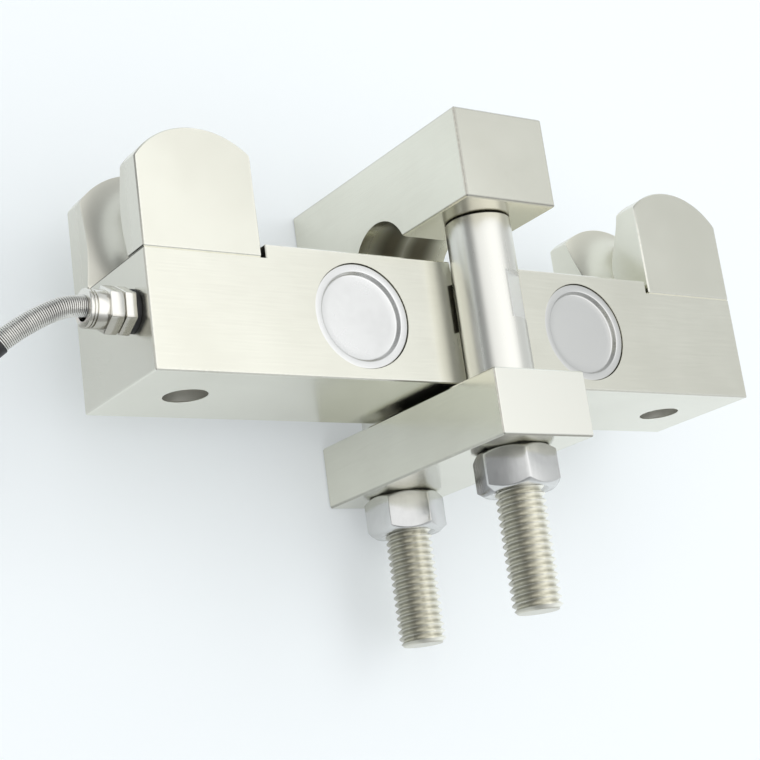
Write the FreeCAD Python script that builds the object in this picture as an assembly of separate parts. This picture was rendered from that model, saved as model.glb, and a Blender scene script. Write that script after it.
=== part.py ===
import FreeCAD, Part
import math
import os

# Wire rope load cell. A gauged steel beam carries a grooved rope saddle at each end, and a clamp
# round its middle presses the rope down between them. Sizes are in millimetres. X runs along the
# rope, Y points from the beam to the clamp block, and Z points up from the surface that the cell
# lies on, which the ends of the clamp block and the clamp plate touch.

# Beam
beam_length = 180.0
beam_height = 31.4          # along Y, between the saddles
beam_depth = 36.0           # along Z
seat_drop = 3.2             # from the beam's top down to the saddle seats
beam_chamfer = 0.3
same_place = 1e-6           # edges nearer than this count as the same

# Rope saddles
saddle_length = 29.95
saddle_gap = 1.05           # between a saddle's inner end and the wall of its seat
saddle_axis_inset = 16.4    # from the beam's end to the axis of the arched top
saddle_axis_rise = 10.0     # from the seat to that axis
saddle_radius = 20.0        # arched top
saddle_chamfer = 0.3
throat_radius = 12.0        # floor of the rope groove, about the saddle's axis
rope_groove_radius = 11.4   # section of the rope grooves in the saddles and the clamp block

# Saddle screws, socket heads sunk in the underside of the beam
screw_radius = 3.0
screw_length = 24.0
screw_head_radius = 5.0
screw_head_height = 6.0
screw_head_depth = 8.0      # from the underside to the face of the head
screw_socket_flats = 5.0
screw_socket_depth = 3.0
screw_chamfer = 0.5
screw_clearance = 0.3
thread_end_room = 1.5       # a threaded hole goes this much deeper than its screw

# Clamp
clamp_length = 74.6         # along Z
clamp_width = 27.4          # along X
block_height = 23.3
block_groove_depth = 7.2
plate_height = 16.2
rope_window = 8.9           # from the beam's top to the clamp block
load_gap = 1.6              # from the clamp plate to the beam, which the load rib fills
load_rib_half_width = 5.0
load_rib_length = 30.0
clamp_chamfer = 0.45

# Clamp pillars and nuts
pillar_spacing = 46.4
pillar_radius = 8.1
pillar_chamfer = 0.5
pillar_flats = 14.0         # across the wrench flats
pillar_flat_length = 12.0
pillar_flat_angle = 60.0    # normal of the flats, from X towards Z
notch_clearance = 0.3       # between a pillar and its notch in the beam
thread_radius = 6.0
stud_tip_chamfer = 1.1
stud_reach = 38.6           # beyond the clamp plate
stub_length = 16.0          # in the clamp block
stud_hole_clearance = 0.6   # in the clamp plate
thread_clearance = 0.1
nut_flats = 18.0
nut_height = 10.0
nut_face_radius = 8.5       # flat ring left by the chamfer on each end
nut_chamfer_angle = 30.0
front_nut_angle = 53.3      # a corner of the nut, from X towards Z
rear_nut_angle = 28.3

# Gauge pockets and their covers
pocket_spacing = 68.8
pocket_radius = 10.3
web_thickness = 7.0
cover_radius = 12.9
cover_height = 2.9
cover_sink = 0.4            # rim below the face of the beam
cover_dish_radius = 10.6
cover_dish_depth = 1.9      # from the rim to the dished floor
cover_rim_width = 0.7
cover_chamfer = 0.3
cover_clearance = 0.15
web_hole_radius = 1.5
web_hole_drop = 6.8         # from the pocket's middle to the wire hole in the web

# Strain gauges and wiring
gauge_length = 9.0
gauge_width = 7.0
gauge_thickness = 0.2
board_length = 10.0
board_width = 4.0
board_thickness = 1.0
board_offset = 6.2          # from the pocket's middle
cable_bore_radius = 2.2
wire_bore_radius = 1.5
wire_bundle_radius = 1.1
core_radius = 0.4
core_pitch = 1.0            # between the cores inside the jacket
solder_pitch = 1.6          # between the cores on the terminal board
core_order = (1, 0, 2, 3)   # place of each core on the board, so that none crosses another

# Cable gland
gland_inset = 7.95          # from the beam's front face to the gland's axis
spigot_radius = 4.0
spigot_length = 7.0
seal_radius = 5.2
seal_thickness = 1.2
gland_flats = 9.7
gland_hex_angle = 2.6       # a corner of the hexagons, from Y towards Z
body_hex_length = 2.6
body_neck_radius = 3.2
body_neck_length = 4.0
nut_relief = 0.25           # between the two hexagons
gland_nut_hex_length = 3.25
gland_collar_radius = 4.4
gland_collar_length = 2.75
gland_waist_radius = 4.0
gland_waist_length = 0.2
gland_bead_radius = 4.35
gland_bead_length = 0.45
gland_lip_length = 0.85
grommet_length = 1.2
gland_edge = 0.1            # small chamfers on the turned edges of the nut

# Cable and the spring that guards it
cable_radius = 1.5
spring_radius = 2.2
sleeve_radius = 2.4
spring_clearance = 0.05
spring_seat_clearance = 0.15
spring_seat_depth = 1.4     # of the spring inside the mouth of the gland

# Route of the cable from the mouth of the gland to the top of its coil
route = [
    (0.0, 0.0, 0.0),
    (-3.2, 0.0, 0.0),
    (-6.9, -0.68, -0.5),
    (-10.87, -2.22, -1.61),
    (-14.81, -4.72, -3.43),
    (-18.77, -7.68, -5.58),
    (-21.84, -11.03, -9.82),
    (-24.31, -14.37, -14.48),
    (-26.71, -17.81, -19.1),
    (-29.17, -21.44, -23.55),
    (-31.81, -25.41, -27.57),
    (-34.95, -30.1, -30.05),
]
arc_share = 0.45            # of the shorter run at a bend, which its arc takes up
spring_turns = 4            # bends of the route that the spring covers
sleeve_turns = 2            # bends after those that the sleeve covers

# Coil of the spare cable, beside the cell
coil_offset = (-55.4, -17.6)    # from the mouth of the gland to the middle of the coil
coil_radius = 18.0          # middle of the turns
coil_columns = 5
coil_layers = 6
coil_chamfer = 1.0          # where the turns round off the coil's section
tie_width = 5.0
tie_thickness = 0.8
tie_angle = 20.0            # place of the tie on the coil, from X towards Y
tail = [(0.0, 24.0, 2.3), (10.0, 24.4, 2.0), (19.0, 26.2, 1.5)]     # from the coil's middle
lead_reach = 20.0           # of the leads beyond the jacket
lead_bend = 8.0             # from the jacket to where the leads lie flat
lead_fan = 2.6              # between the tips of the leads
lead_spread = 0.7           # share of the fan that is open at the bend

# Places that follow from the sizes
z_middle = clamp_length / 2
z_front = z_middle + beam_depth / 2
z_rear = z_middle - beam_depth / 2
stack_low = -(load_gap + plate_height + stud_reach)
stack_high = beam_height + rope_window + block_height
y_under = -(stack_low + stack_high) / 2
y_top = y_under + beam_height
y_seat = y_top - seat_drop
y_core = y_under + beam_height / 2
y_plate = y_under - load_gap
y_block = y_top + rope_window
x_end = beam_length / 2
x_saddle = x_end - saddle_axis_inset
x_saddle_inner = x_end - saddle_length
x_wall = x_saddle_inner - saddle_gap
y_saddle = y_seat + saddle_axis_rise
pillar_places = {"front": z_middle + pillar_spacing / 2, "rear": z_middle - pillar_spacing / 2}
web_faces = {"front": z_middle + web_thickness / 2, "rear": z_middle - web_thickness / 2}
beam_faces = {"front": z_front, "rear": z_rear}
outward = {"front": 1, "rear": -1}
ends = {"left": -1, "right": 1}
z_gland = z_front - gland_inset
body_hex_end = seal_thickness + body_hex_length
gland_nut_start = body_hex_end + nut_relief
gland_hex_end = gland_nut_start + gland_nut_hex_length
gland_collar_end = gland_hex_end + gland_collar_length
gland_bead_start = gland_collar_end + gland_waist_length
gland_bead_end = gland_bead_start + gland_bead_length
gland_lip_start = gland_bead_end + gland_waist_length
gland_length = gland_lip_start + gland_lip_length
body_neck_end = body_hex_end + body_neck_length
grommet_end = body_neck_end + grommet_length
x_cable_start = pocket_spacing / 2 + pocket_radius
cable_hollow = cable_radius + spring_clearance
mouth = FreeCAD.Vector(-x_end - gland_length, y_core, z_gland)
coil_middle = FreeCAD.Vector(mouth.x + coil_offset[0], mouth.y + coil_offset[1], tie_thickness)
coil_width = 2 * cable_radius * coil_columns
coil_height = 2 * cable_radius * coil_layers

core_places = [(-1, -1), (-1, 1), (1, 1), (1, -1)]      # round the middle of the cable
core_middle = (len(core_places) - 1) / 2

along_x = FreeCAD.Vector(1, 0, 0)
along_y = FreeCAD.Vector(0, 1, 0)
along_z = FreeCAD.Vector(0, 0, 1)


def box(low, high):
    size = [b - a for a, b in zip(low, high)]
    return Part.makeBox(*size, FreeCAD.Vector(*low))


def rod(radius, start, axis, length):
    return Part.makeCylinder(radius, length, FreeCAD.Vector(*start), axis)


def flat_face(points):
    return Part.Face(Part.makePolygon(points + points[:1]))


def turned(outline, base, axis, radial):
    """A closed outline of (radius, height) points, turned about an axis through the base."""
    base = FreeCAD.Vector(*base)
    points = [base + radial * r + axis * h for r, h in outline]
    return flat_face(points).revolve(base, axis, 360)


def hexagon(flats, base, axis, first_corner, length):
    """A hexagonal bar with a corner towards first_corner."""
    base = FreeCAD.Vector(*base)
    spoke = FreeCAD.Vector(first_corner) * (flats / math.sqrt(3))
    turn = [FreeCAD.Rotation(axis, 60 * i).multVec(spoke) for i in range(6)]
    points = [base + corner for corner in turn]
    return flat_face(points).extrude(axis * length)


def prism(points, z_low, z_high):
    """A closed outline of (x, y) points, carried from z_low to z_high."""
    face = flat_face([FreeCAD.Vector(x, y, z_low) for x, y in points])
    return face.extrude(along_z * (z_high - z_low))


def chamfered(shape, size, keep_sharp=()):
    """Every edge chamfered, apart from those over the (x, y) corners in keep_sharp."""
    def sharp(edge):
        middle = edge.CenterOfMass
        upright = abs(edge.BoundBox.ZLength - edge.Length) < same_place
        near = [math.hypot(middle.x - x, middle.y - y) < same_place for x, y in keep_sharp]
        return upright and any(near)
    return shape.makeChamfer(size, [edge for edge in shape.Edges if not sharp(edge)])


def route_edges(points):
    """Straight runs joined by tangent arcs, each as large as its two runs allow."""
    places = [FreeCAD.Vector(*p) for p in points]
    runs = [b - a for a, b in zip(places, places[1:])]
    edges = []
    radii = []
    start = places[0]
    for place, before, after in zip(places[1:], runs, runs[1:]):
        reach = arc_share * min(before.Length, after.Length)
        into = FreeCAD.Vector(before).normalize()
        out = FreeCAD.Vector(after).normalize()
        half_turn = into.getAngle(out) / 2
        radius = reach / math.tan(half_turn)
        crown = place + (out - into).normalize() * (radius / math.cos(half_turn) - radius)
        arc_start = place - into * reach
        arc_end = place + out * reach
        edges.append(Part.LineSegment(start, arc_start).toShape())
        edges.append(Part.Arc(arc_start, crown, arc_end).toShape())
        radii.append(radius)
        start = arc_end
    edges.append(Part.LineSegment(start, places[-1]).toShape())
    return edges, radii


def tube(edges, radius):
    """A round solid carried along joined edges."""
    start = edges[0].valueAt(edges[0].FirstParameter)
    heading = edges[0].tangentAt(edges[0].FirstParameter)
    ring = Part.Wire(Part.makeCircle(radius, start, heading))
    return Part.Wire(edges).makePipeShell([ring], True, False)


def sleeve(edges, outer, inner):
    return tube(edges, outer).cut(tube(edges, inner))


def sensor_beam():
    outline = [(-x_end, y_under), (x_end, y_under), (x_end, y_seat), (x_wall, y_seat)]
    outline += [(x_wall, y_top), (-x_wall, y_top), (-x_wall, y_seat), (-x_end, y_seat)]
    corners = [(x_wall, y_seat), (-x_wall, y_seat)]
    beam = chamfered(prism(outline, z_rear, z_front), beam_chamfer, corners)
    cuts = []
    for z in pillar_places.values():
        cuts.append(rod(pillar_radius + notch_clearance, (0, y_under, z), along_y, beam_height))
    for side in ends.values():
        x = side * pocket_spacing / 2
        for name, face in beam_faces.items():
            inward = along_z * -outward[name]
            depth = abs(face - web_faces[name])
            seat_depth = cover_sink + cover_height
            cuts.append(rod(cover_radius + cover_clearance, (x, y_core, face), inward, seat_depth))
            cuts.append(rod(pocket_radius, (x, y_core, face), inward, depth))
        hole = (x, y_core - web_hole_drop, web_faces["rear"])
        cuts.append(rod(web_hole_radius, hole, along_z, web_thickness))
        x_screw = side * x_saddle
        head_room = screw_head_depth + screw_head_height
        bore_radius = screw_head_radius + screw_clearance
        cuts.append(rod(bore_radius, (x_screw, y_under, z_middle), along_y, head_room))
        shank_room = screw_radius + screw_clearance
        cuts.append(rod(shank_room, (x_screw, y_under, z_middle), along_y, beam_height))
    gland_hole = spigot_radius + thread_clearance
    gland_place = (-x_end, y_core, z_gland)
    cuts.append(rod(gland_hole, gland_place, along_x, spigot_length + thread_end_room))
    cuts.append(rod(cable_bore_radius, gland_place, along_x, x_end - pocket_spacing / 2))
    wire_place = (-pocket_spacing / 2, y_core, z_gland)
    cuts.append(rod(wire_bore_radius, wire_place, along_x, pocket_spacing))
    return beam.cut(cuts)


def rope_saddle(side):
    axis = FreeCAD.Vector(side * x_saddle, y_saddle, z_rear)
    sides = [side * x_saddle_inner, side * x_end]
    shoulders = []
    for x in sides:
        rise = math.sqrt(saddle_radius ** 2 - (x - axis.x) ** 2)
        shoulders.append(FreeCAD.Vector(x, axis.y + rise, z_rear))
    crown = axis + along_y * saddle_radius
    feet = [FreeCAD.Vector(x, y_seat, z_rear) for x in sides]
    edges = [Part.LineSegment(feet[0], feet[1]).toShape()]
    edges.append(Part.LineSegment(feet[1], shoulders[1]).toShape())
    edges.append(Part.Arc(shoulders[1], crown, shoulders[0]).toShape())
    edges.append(Part.LineSegment(shoulders[0], feet[0]).toShape())
    block = Part.Face(Part.Wire(edges)).extrude(along_z * beam_depth)
    block = chamfered(block, saddle_chamfer)
    groove_middle = FreeCAD.Vector(axis.x, axis.y, z_middle)
    groove_line = throat_radius + rope_groove_radius
    groove = Part.makeTorus(groove_line, rope_groove_radius, groove_middle, along_z)
    reach = screw_head_depth + screw_head_height + screw_length - (y_seat - y_under)
    hole_place = (axis.x, y_seat, z_middle)
    hole = rod(screw_radius + thread_clearance, hole_place, along_y, reach + thread_end_room)
    return block.cut([groove, hole])


def saddle_screw(side):
    base = (side * x_saddle, y_under + screw_head_depth, z_middle)
    head_edge = screw_head_radius - screw_chamfer
    tip = screw_head_height + screw_length
    outline = [(0, 0), (head_edge, 0), (screw_head_radius, screw_chamfer)]
    outline += [(screw_head_radius, screw_head_height), (screw_radius, screw_head_height)]
    outline += [(screw_radius, tip - screw_chamfer), (screw_radius - screw_chamfer, tip), (0, tip)]
    screw = turned(outline, base, along_y, along_x)
    return screw.cut(hexagon(screw_socket_flats, base, along_y, along_x, screw_socket_depth))


def clamp_block():
    low = (-clamp_width / 2, y_block, 0)
    high = (clamp_width / 2, y_block + block_height, clamp_length)
    block = chamfered(box(low, high), clamp_chamfer)
    groove_axis = (-clamp_width, y_block + block_groove_depth - rope_groove_radius, z_middle)
    cuts = [rod(rope_groove_radius, groove_axis, along_x, 2 * clamp_width)]
    for z in pillar_places.values():
        depth = stub_length + thread_end_room
        cuts.append(rod(thread_radius + thread_clearance, (0, y_block, z), along_y, depth))
    return block.cut(cuts)


def clamp_plate():
    low = (-clamp_width / 2, y_plate - plate_height, 0)
    high = (clamp_width / 2, y_plate, clamp_length)
    plate = chamfered(box(low, high), clamp_chamfer)
    holes = []
    for z in pillar_places.values():
        place = (0, y_plate - plate_height, z)
        holes.append(rod(thread_radius + stud_hole_clearance, place, along_y, plate_height))
    z_rib = z_middle - load_rib_length / 2
    feet = [FreeCAD.Vector(x, y_plate, z_rib) for x in (-load_rib_half_width, load_rib_half_width)]
    crown = FreeCAD.Vector(0, y_under, z_rib)
    edges = [Part.Arc(feet[0], crown, feet[1]).toShape()]
    edges.append(Part.LineSegment(feet[1], feet[0]).toShape())
    rib = Part.Face(Part.Wire(edges)).extrude(along_z * load_rib_length)
    return plate.cut(holes).fuse(rib).removeSplitter()


def clamp_pillar(z):
    stud = plate_height + stud_reach
    hub = y_block - y_plate
    top = stud + hub + stub_length
    base = (0, y_plate - stud, z)
    tip_radius = thread_radius - stud_tip_chamfer
    hub_edge = pillar_radius - pillar_chamfer
    outline = [(0, 0), (tip_radius, 0), (thread_radius, stud_tip_chamfer), (thread_radius, stud)]
    outline += [(hub_edge, stud), (pillar_radius, stud + pillar_chamfer)]
    outline += [(pillar_radius, stud + hub - pillar_chamfer), (hub_edge, stud + hub)]
    outline += [(thread_radius, stud + hub), (thread_radius, top - stud_tip_chamfer)]
    outline += [(tip_radius, top), (0, top)]
    pillar = turned(outline, base, along_y, along_x)
    y_flats = (y_plate + y_block - pillar_flat_length) / 2
    flats = []
    for half_turn in (0, 180):
        low = (pillar_flats / 2, y_flats, z - pillar_radius)
        high = (2 * pillar_radius, y_flats + pillar_flat_length, z + pillar_radius)
        flat = box(low, high)
        flat.rotate(FreeCAD.Vector(0, 0, z), along_y, half_turn - pillar_flat_angle)
        flats.append(flat)
    return pillar.cut(flats)


def clamp_nut(z, angle):
    base = (0, y_plate - plate_height - nut_height, z)
    corner = FreeCAD.Rotation(along_y, -angle).multVec(along_x)
    nut = hexagon(nut_flats, base, along_y, corner, nut_height)
    corner_radius = nut_flats / math.sqrt(3)
    slope = math.tan(math.radians(nut_chamfer_angle))
    fall = (corner_radius - nut_face_radius) * slope
    outline = [(0, 0), (nut_face_radius, 0), (corner_radius, fall)]
    outline += [(corner_radius, nut_height - fall), (nut_face_radius, nut_height), (0, nut_height)]
    nut = nut.common(turned(outline, base, along_y, along_x))
    return nut.cut(rod(thread_radius + thread_clearance, base, along_y, nut_height))


def gauge_cover(side, name):
    outward_axis = along_z * outward[name]
    rim = beam_faces[name] - outward[name] * cover_sink
    base = (side * pocket_spacing / 2, y_core, rim - outward[name] * cover_height)
    floor = cover_height - cover_dish_depth
    lip = cover_radius - cover_rim_width
    outline = [(0, 0), (cover_radius, 0), (cover_radius, cover_height - cover_chamfer)]
    outline += [(cover_radius - cover_chamfer, cover_height), (lip, cover_height)]
    outline += [(cover_dish_radius, floor), (0, floor)]
    return turned(outline, base, outward_axis, along_x)


def strain_gauge(side, name):
    x = side * pocket_spacing / 2
    face = web_faces[name]
    z_low = min(face, face + outward[name] * gauge_thickness)
    low = (x - gauge_length / 2, y_core - gauge_width / 2, z_low)
    high = (x + gauge_length / 2, y_core + gauge_width / 2, z_low + gauge_thickness)
    return box(low, high)


def terminal_board():
    x = -pocket_spacing / 2
    y = y_core + board_offset
    z = web_faces["front"]
    low = (x - board_length / 2, y - board_width / 2, z)
    high = (x + board_length / 2, y + board_width / 2, z + board_thickness)
    return box(low, high)


def gland_rod(radius, start, end):
    """A round bar on the gland's axis, between two distances out from the beam's end."""
    return rod(radius, (-x_end - start, y_core, z_gland), -along_x, end - start)


def gland_hexagon(start, end):
    corner = FreeCAD.Rotation(along_x, gland_hex_angle).multVec(along_y)
    return hexagon(gland_flats, (-x_end - start, y_core, z_gland), -along_x, corner, end - start)


def gland_seal():
    return gland_rod(seal_radius, 0, seal_thickness).cut(gland_rod(spigot_radius, 0, seal_thickness))


def gland_body():
    spigot = gland_rod(spigot_radius, -spigot_length, seal_thickness)
    bar = gland_hexagon(seal_thickness, body_hex_end)
    neck = gland_rod(body_neck_radius, seal_thickness, body_neck_end)
    bore = gland_rod(cable_bore_radius, -spigot_length, body_neck_end)
    return spigot.fuse([bar, neck]).removeSplitter().cut(bore)


def gland_nut():
    edge = gland_edge
    collar_edge = gland_collar_radius - edge
    lip_edge = gland_collar_radius - 2 * edge
    outline = [(0, gland_nut_start), (gland_waist_radius, gland_nut_start)]
    outline += [(gland_waist_radius, gland_hex_end), (collar_edge, gland_hex_end)]
    outline += [(gland_collar_radius, gland_hex_end + edge)]
    outline += [(gland_collar_radius, gland_collar_end - edge)]
    outline += [(gland_waist_radius, gland_collar_end), (gland_waist_radius, gland_bead_start)]
    outline += [(gland_bead_radius, gland_bead_start), (gland_bead_radius, gland_bead_end)]
    outline += [(gland_waist_radius, gland_bead_end), (gland_waist_radius, gland_lip_start)]
    outline += [(gland_collar_radius, gland_lip_start)]
    outline += [(gland_collar_radius, gland_length - 2 * edge), (lip_edge, gland_length)]
    outline += [(0, gland_length)]
    turned_shell = turned(outline, (-x_end, y_core, z_gland), -along_x, along_y)
    shell = gland_hexagon(gland_nut_start, gland_hex_end).fuse(turned_shell).removeSplitter()
    thread = gland_rod(body_neck_radius + thread_clearance, gland_nut_start, grommet_end)
    throat = gland_rod(spring_radius + spring_seat_clearance, grommet_end, gland_length)
    return shell.cut([thread, throat])


def gland_grommet():
    ring = gland_rod(body_neck_radius, body_neck_end, grommet_end)
    return ring.cut(gland_rod(cable_hollow, body_neck_end, grommet_end))


def inner_cable():
    return gland_rod(cable_radius, x_cable_start - x_end, gland_length)


def cable_cores():
    """Four cores from the end of the cable down to the terminal board."""
    z_solder = web_faces["front"] + board_thickness / 2
    start_face = FreeCAD.Vector(-x_cable_start, y_core, z_gland)
    cores = []
    for (row, column), place in zip(core_places, core_order):
        offset = along_y * (column * core_pitch / 2) + along_z * (row * core_pitch / 2)
        start = start_face + offset
        x_solder = -pocket_spacing / 2 + (place - core_middle) * solder_pitch
        run = FreeCAD.Vector(x_solder, y_core + board_offset, z_solder) - start
        core = rod(core_radius, start, run, run.Length)
        cores.append(core.cut([terminal_board(), inner_cable()]))
    return Part.makeCompound(cores)


def link_wires():
    length = pocket_spacing - 2 * pocket_radius
    start = (-length / 2, y_core, z_gland)
    return rod(wire_bundle_radius, start, along_x, length)


def coil_section(margin):
    """The coil's section, grown by a margin, on the side of the coil that faces X."""
    inner = coil_middle.x + coil_radius - coil_width / 2 - margin
    outer = coil_middle.x + coil_radius + coil_width / 2 + margin
    bottom = coil_middle.z - margin
    top = coil_middle.z + coil_height + margin
    cut = coil_chamfer + margin * (2 - math.sqrt(2))
    corners = [(inner + cut, bottom), (outer - cut, bottom), (outer, bottom + cut), (outer, top - cut)]
    corners += [(outer - cut, top), (inner + cut, top), (inner, top - cut), (inner, bottom + cut)]
    return flat_face([FreeCAD.Vector(x, coil_middle.y, z) for x, z in corners])


def cable_coil():
    return coil_section(0).revolve(coil_middle, along_z, 360)


def coil_tie():
    sweep = math.degrees(tie_width / coil_radius)
    band = coil_section(tie_thickness).cut(coil_section(0))
    tie = band.revolve(coil_middle, along_z, sweep)
    tie.rotate(coil_middle, along_z, tie_angle)
    return tie


def tail_points():
    return [FreeCAD.Vector(coil_middle.x + x, coil_middle.y + y, z) for x, y, z in tail]


def lead_wires():
    """Four bare-ended leads that fan out from the end of the cable's jacket."""
    last = tail_points()[-1]
    ahead = (last - tail_points()[-2]).normalize()
    across = ahead.cross(along_z).normalize()
    upward = across.cross(ahead)
    wires = []
    for i, (column, row) in enumerate(core_places):
        sideways = column * core_pitch / 2
        fan = (i - core_middle) * lead_fan
        start = last + across * sideways + upward * (row * core_pitch / 2)
        bend = last + ahead * lead_bend + across * (sideways + lead_spread * fan)
        tip = last + ahead * lead_reach + across * fan
        bend.z = core_radius
        tip.z = core_radius
        edges, radii = route_edges([start, bend, tip])
        wires.append(tube(edges, core_radius))
    return Part.makeCompound(wires)


pieces = {
    "sensor_beam": sensor_beam(),
    "clamp_block": clamp_block(),
    "clamp_plate": clamp_plate(),
    "front_clamp_nut": clamp_nut(pillar_places["front"], front_nut_angle),
    "rear_clamp_nut": clamp_nut(pillar_places["rear"], rear_nut_angle),
    "terminal_board": terminal_board(),
    "cable_cores": cable_cores(),
    "link_wires": link_wires(),
    "gland_seal": gland_seal(),
    "gland_body": gland_body(),
    "gland_nut": gland_nut(),
    "gland_grommet": gland_grommet(),
    "inner_cable": inner_cable(),
    "cable_coil": cable_coil(),
    "coil_tie": coil_tie(),
}
for name, z in pillar_places.items():
    pieces[name + "_clamp_pillar"] = clamp_pillar(z)
for end, side in ends.items():
    pieces[end + "_rope_saddle"] = rope_saddle(side)
    pieces[end + "_saddle_screw"] = saddle_screw(side)
    for name in beam_faces:
        pieces[name + "_" + end + "_cover"] = gauge_cover(side, name)
        pieces[name + "_" + end + "_gauge"] = strain_gauge(side, name)

cable_edges, cable_radii = route_edges([mouth + FreeCAD.Vector(*p) for p in route])
spring_edges = cable_edges[:2 * spring_turns]
sleeve_edges = cable_edges[2 * spring_turns:2 * (spring_turns + sleeve_turns)]
seat_start = gland_length - spring_seat_depth
seat = gland_rod(spring_radius, seat_start, gland_length)
seat = seat.cut(gland_rod(cable_hollow, seat_start, gland_length))
spring = sleeve(spring_edges, spring_radius, cable_hollow).fuse(seat).removeSplitter()
pieces["strain_relief_spring"] = spring
pieces["spring_sleeve"] = sleeve(sleeve_edges, sleeve_radius, cable_hollow)
whole_cable = tube(cable_edges, cable_radius)
pieces["cable"] = whole_cable.cut(pieces["cable_coil"])
tail_edges, tail_radii = route_edges(tail_points())
whole_tail = tube(tail_edges, cable_radius)
pieces["cable_tail"] = whole_tail.cut(pieces["cable_coil"])
pieces["lead_wires"] = lead_wires().cut(whole_tail)

os.makedirs("parts", exist_ok=True)
for node, shape in pieces.items():
    shape.exportStep("parts/" + node + ".step")

cable_length = sum(edge.Length for edge in cable_edges)
print("cable arc radii", [round(r, 1) for r in cable_radii + tail_radii])
print("cable volume", whole_cable.Volume)
print("section times length", math.pi * cable_radius ** 2 * cable_length)
print("pieces", len(pieces))
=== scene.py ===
import math

import bmesh
import bpy
import numpy as np
from mathutils import Matrix, Vector


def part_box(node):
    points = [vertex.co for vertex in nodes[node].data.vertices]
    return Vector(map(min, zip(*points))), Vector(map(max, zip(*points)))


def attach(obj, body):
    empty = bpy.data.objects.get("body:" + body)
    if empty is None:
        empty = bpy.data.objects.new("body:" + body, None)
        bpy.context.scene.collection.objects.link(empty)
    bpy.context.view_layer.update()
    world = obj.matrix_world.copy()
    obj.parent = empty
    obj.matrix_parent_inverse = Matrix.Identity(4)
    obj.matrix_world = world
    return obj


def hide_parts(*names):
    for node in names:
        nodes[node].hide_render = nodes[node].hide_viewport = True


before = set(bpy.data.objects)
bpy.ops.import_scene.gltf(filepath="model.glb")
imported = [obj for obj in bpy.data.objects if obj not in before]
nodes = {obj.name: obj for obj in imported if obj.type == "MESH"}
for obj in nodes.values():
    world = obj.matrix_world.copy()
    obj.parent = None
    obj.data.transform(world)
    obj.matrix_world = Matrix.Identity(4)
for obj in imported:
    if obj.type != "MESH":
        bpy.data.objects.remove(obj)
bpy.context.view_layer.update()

mm = 0.001      # surfaces are worked out in millimetres
print("frame:", len(nodes), "nodes")


viewPoint = {
    "place": (-0.25412, -0.10418, 0.36057),
    "right": (0.8219, -0.1330, 0.5539),
    "down": (0.0388, -0.9571, -0.2873),
    "lens": 79.795,
    "sensor": 36.0,
    "nearest": 0.01,
}


def newObject(name, data):
    made = bpy.data.objects.new(name, data)
    bpy.context.scene.collection.objects.link(made)
    return made


def setCamera(view):
    right = Vector(view["right"]).normalized()
    down = Vector(view["down"])
    down = (down - right * down.dot(right)).normalized()
    turn = Matrix((right, -down, right.cross(-down))).transposed()
    data = bpy.data.cameras.new("photoView")
    data.sensor_width = view["sensor"]
    data.lens = view["lens"]
    data.clip_start = view["nearest"]
    camera = newObject("photoView", data)
    camera.matrix_world = Matrix.Translation(view["place"]) @ turn.to_4x4()
    bpy.context.scene.camera = camera


setCamera(viewPoint)
print("camera set")


# a socket that can stand in a Python expression, which then adds its Math nodes
class Value:
    def __init__(self, sheet, socket):
        self.sheet = sheet
        self.socket = socket

    def __add__(self, other):
        return self.sheet.maths("ADD", self, other)

    def __radd__(self, other):
        return self.sheet.maths("ADD", other, self)

    def __sub__(self, other):
        return self.sheet.maths("SUBTRACT", self, other)

    def __rsub__(self, other):
        return self.sheet.maths("SUBTRACT", other, self)

    def __mul__(self, other):
        return self.sheet.maths("MULTIPLY", self, other)

    def __rmul__(self, other):
        return self.sheet.maths("MULTIPLY", other, self)

    def __abs__(self):
        return self.sheet.maths("ABSOLUTE", self)


# the node tree of one finish, or of the room
class Sheet:
    def __init__(self, tree):
        self.tree = tree
        tree.nodes.clear()

    def node(self, kind, settings=None, inputs=None, out=0):
        made = self.tree.nodes.new(kind)
        for key, value in (settings or {}).items():
            setattr(made, key, value)
        for key, value in (inputs or {}).items():
            if isinstance(value, Value):
                self.tree.links.new(value.socket, made.inputs[key])
            else:
                made.inputs[key].default_value = value
        return Value(self, made.outputs[out]) if made.outputs else made

    def maths(self, operation, *values):
        return self.node("ShaderNodeMath", {"operation": operation}, dict(enumerate(values)))

    def place(self):
        return self.node("ShaderNodeTexCoord", out="Object")

    def stretched(self, vector, scale):
        return self.node("ShaderNodeMapping", None, {"Vector": vector, "Scale": scale})

    def noise(self, vector, scale, detail=3.0, roughness=0.5):
        inputs = {"Vector": vector, "Scale": scale, "Detail": detail, "Roughness": roughness}
        return self.node("ShaderNodeTexNoise", None, inputs)

    def ease(self, value, low, high):
        inputs = {"Value": value, "From Min": low, "From Max": high}
        return self.node("ShaderNodeMapRange", {"interpolation_type": "SMOOTHSTEP"}, inputs)

    # a Mix node has its two colours at inputs 6 and 7, and the mixed one at output 2
    def blend(self, factor, one, two):
        inputs = {0: factor}
        for key, colour in ((6, one), (7, two)):
            inputs[key] = (*colour, 1) if isinstance(colour, tuple) else colour
        return self.node("ShaderNodeMix", {"data_type": "RGBA"}, inputs, out=2)

    def bump(self, height, distance, strength):
        inputs = {"Height": height, "Distance": distance, "Strength": strength}
        return self.node("ShaderNodeBump", None, inputs)

    def split(self, vector):
        return [self.node("ShaderNodeSeparateXYZ", None, {0: vector}, out=i) for i in range(3)]

    def along(self, vector, heading):
        inputs = {0: vector, 1: heading}
        return self.node("ShaderNodeVectorMath", {"operation": "DOT_PRODUCT"}, inputs, out="Value")

    def finish(self, inputs):
        surface = self.node("ShaderNodeBsdfPrincipled", None, inputs)
        self.node("ShaderNodeOutputMaterial", None, {"Surface": surface})


def newFinish(name):
    material = bpy.data.materials.new(name)
    material.use_nodes = True
    return material, Sheet(material.node_tree)


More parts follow.
